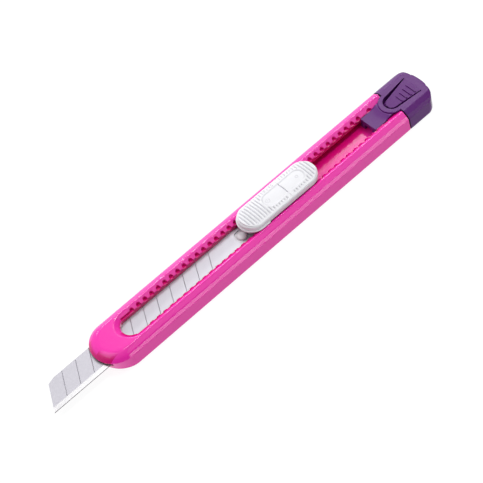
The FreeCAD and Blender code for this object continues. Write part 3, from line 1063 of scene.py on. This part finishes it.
pin_moat = circle(pin_x + 0.3, -0.3, pin_radius + 0.2)
combine(carrier, prism("moat", pin_moat, 2.2, blade_z + 0.2), "DIFFERENCE")
round_edges(carrier, 0.08, angle=50)
combine(carrier, pin(), "UNION")
soften(carrier)
place(carrier, pale, "slider", "carrier_plastic", "blade_carrier")

# %% Detent spring
loop_z, loop_top = 5.05, 5.95
loop_gap, loop_thick = 0.2, 0.3
nose_y, nose_radius = 3.35, 0.5


def loop_plan(out):
    """The carrier's waist, grown by this much."""
    reach = waist_reach + out
    return stadium(waist_x - reach, waist_x + reach, waist_half + out)


loop = prism("detent_spring", loop_plan(loop_gap + loop_thick), loop_z, loop_top)
combine(loop, prism("hollow", loop_plan(loop_gap), loop_z - 0.25, loop_top + 0.25), "DIFFERENCE")
nose_root = waist_half + loop_gap + loop_thick / 2
nose_plan = [p for p in circle(detent_x, nose_y, nose_radius, 32) if p[1] >= nose_y - 1e-6]
nose_tool = prism("nose", sorted(nose_plan, key=lambda p: p[0]) + [
    (detent_x + nose_radius, nose_root), (detent_x - nose_radius, nose_root)], loop_z, loop_top)
for side_nose in mirror_tool(nose_tool):
    combine(loop, side_nose, "UNION")
soften(loop)
place(loop, spring, "slider", "spring_steel", "detent_spring")

# %% [markdown]
# The camera stands well back with a long lens, as for a catalogue page, so that the
# knife keeps nearly the same width from its tip to its cap. It looks down from the front
# left and is rolled a little, which lays the knife across the frame from corner to corner.

# %% Camera
from_target = Vector((-0.3331, -0.4953, 0.8023))
level = Vector((0, 0, 1)).cross(from_target).normalized()
roll = math.radians(-12.07)
lift = from_target.cross(level)
across = level * math.cos(roll) + lift * math.sin(roll)
upward = lift * math.cos(roll) - level * math.sin(roll)
target = Vector((-10.324, -1.482, blade_top)) * MM
distance = 566.73 * MM
eye = target + from_target * distance

lens = bpy.data.cameras.new("camera")
lens.sensor_width = 36.0
lens.lens = 148.88
camera = bpy.data.objects.new("camera", lens)
camera.matrix_world = Matrix((
    (across.x, upward.x, from_target.x, eye.x),
    (across.y, upward.y, from_target.y, eye.y),
    (across.z, upward.z, from_target.z, eye.z),
    (0, 0, 0, 1)))
bpy.context.scene.collection.objects.link(camera)
bpy.context.scene.camera = camera
print("camera", round(distance, 3), "m away, lens", round(lens.lens, 1), "mm")

# %% [markdown]
# The floor is a plain pale sheet that glows a little, like paper lit from all sides, so
# that it stays white and the knife's shadow on it stays faint.

# %% Floor
floor_mesh = bpy.data.meshes.new("floor")
floor_mesh.from_pydata([(-3, -3, 0), (3, -3, 0), (3, 3, 0), (-3, 3, 0)], [], [[0, 1, 2, 3]])
floor = bpy.data.objects.new("floor", floor_mesh)
bpy.context.scene.collection.objects.link(floor)
paper, make = new_finish("paper")
sheet = make.node("ShaderNodeBsdfPrincipled", None, {
    "Base Color": (0.14, 0.14, 0.14, 1), "Roughness": 0.95})
close_finish(make, sheet, Emission_Color=(1, 1, 1, 1), Emission_Strength=0.90)
floor.data.materials.append(paper)
print("floor", floor.dimensions[0], "m wide")

# %% [markdown]
# The sky stands for the white walls of a small studio. It is bright above and behind the
# knife and dark at the front, which gives the near side its deeper colour. The strips,
# the slope fill and the front card are long lamps that lie along the knife, because a
# long lamp draws a clean highlight down a long edge. The overhead box and the two smaller
# windows brighten the faces that look up: the button, the blade and the cap's top.

# %% Sky of the studio
world = bpy.data.worlds.new("studio")
bpy.context.scene.world = world
world.use_nodes = True
world.node_tree.nodes.clear()
make = Maker(world.node_tree)
heading = make.node("ShaderNodeTexCoord", out="Generated")
parts = make.node("ShaderNodeSeparateXYZ", None, {0: heading}).socket.node
east, north, high = (Wire(make, parts.outputs[i]) for i in range(3))
bright = make.node("ShaderNodeMapRange", {"interpolation_type": "SMOOTHSTEP"}, {
    "Value": north * 0.8 + high * 0.85 - east * 0.1, "From Min": -0.1, "From Max": 0.85,
    "To Min": 0.02, "To Max": 0.70})
sky = make.node("ShaderNodeBackground", None, {"Color": (1, 1, 1, 1), "Strength": bright})
end = world.node_tree.nodes.new("ShaderNodeOutputWorld")
world.node_tree.links.new(sky.socket, end.inputs["Surface"])
print("sky:", world.name)


# %% Soft boxes
def soft_box(name, direction, distance, size, radiance):
    """A lamp that faces the knife, its length along the knife's; radiance is its glow."""
    lamp = bpy.data.lights.new(name, "AREA")
    lamp.shape = "RECTANGLE"
    lamp.size, lamp.size_y = size
    lamp.energy = radiance * math.pi * size[0] * size[1]
    obj = bpy.data.objects.new(name, lamp)
    away = Vector(direction).normalized()
    along = Vector((1, 0, 0))
    along = (along - along.dot(away) * away).normalized()
    turn = Matrix((along, away.cross(along), away)).transposed()
    obj.matrix_world = Matrix.Translation(away * distance) @ turn.to_4x4()
    bpy.context.scene.collection.objects.link(obj)


soft_box("overhead", (-0.45, 0.15, 0.88), 0.9, (0.6, 0.5), 1.3)
soft_box("window", (0.36, 0.48, 0.80), 0.9, (0.3, 0.3), 0.95)
soft_box("cap window", (0.50, 0.46, 0.80), 0.95, (0.12, 0.3), 4.0)
soft_box("far strip", (0.30, 0.86, 0.42), 0.9, (0.6, 0.05), 18.0)
soft_box("rim strip", (0.333, 0.027, 0.943), 0.9, (0.38, 0.05), 42.0)
soft_box("slope fill", (0.333, -0.553, 0.764), 0.9, (0.4, 0.15), 1.2)
soft_box("front card", (0.333, -0.850, 0.409), 0.9, (0.5, 0.05), 6.0)
bpy.context.scene.view_settings.view_transform = "Standard"
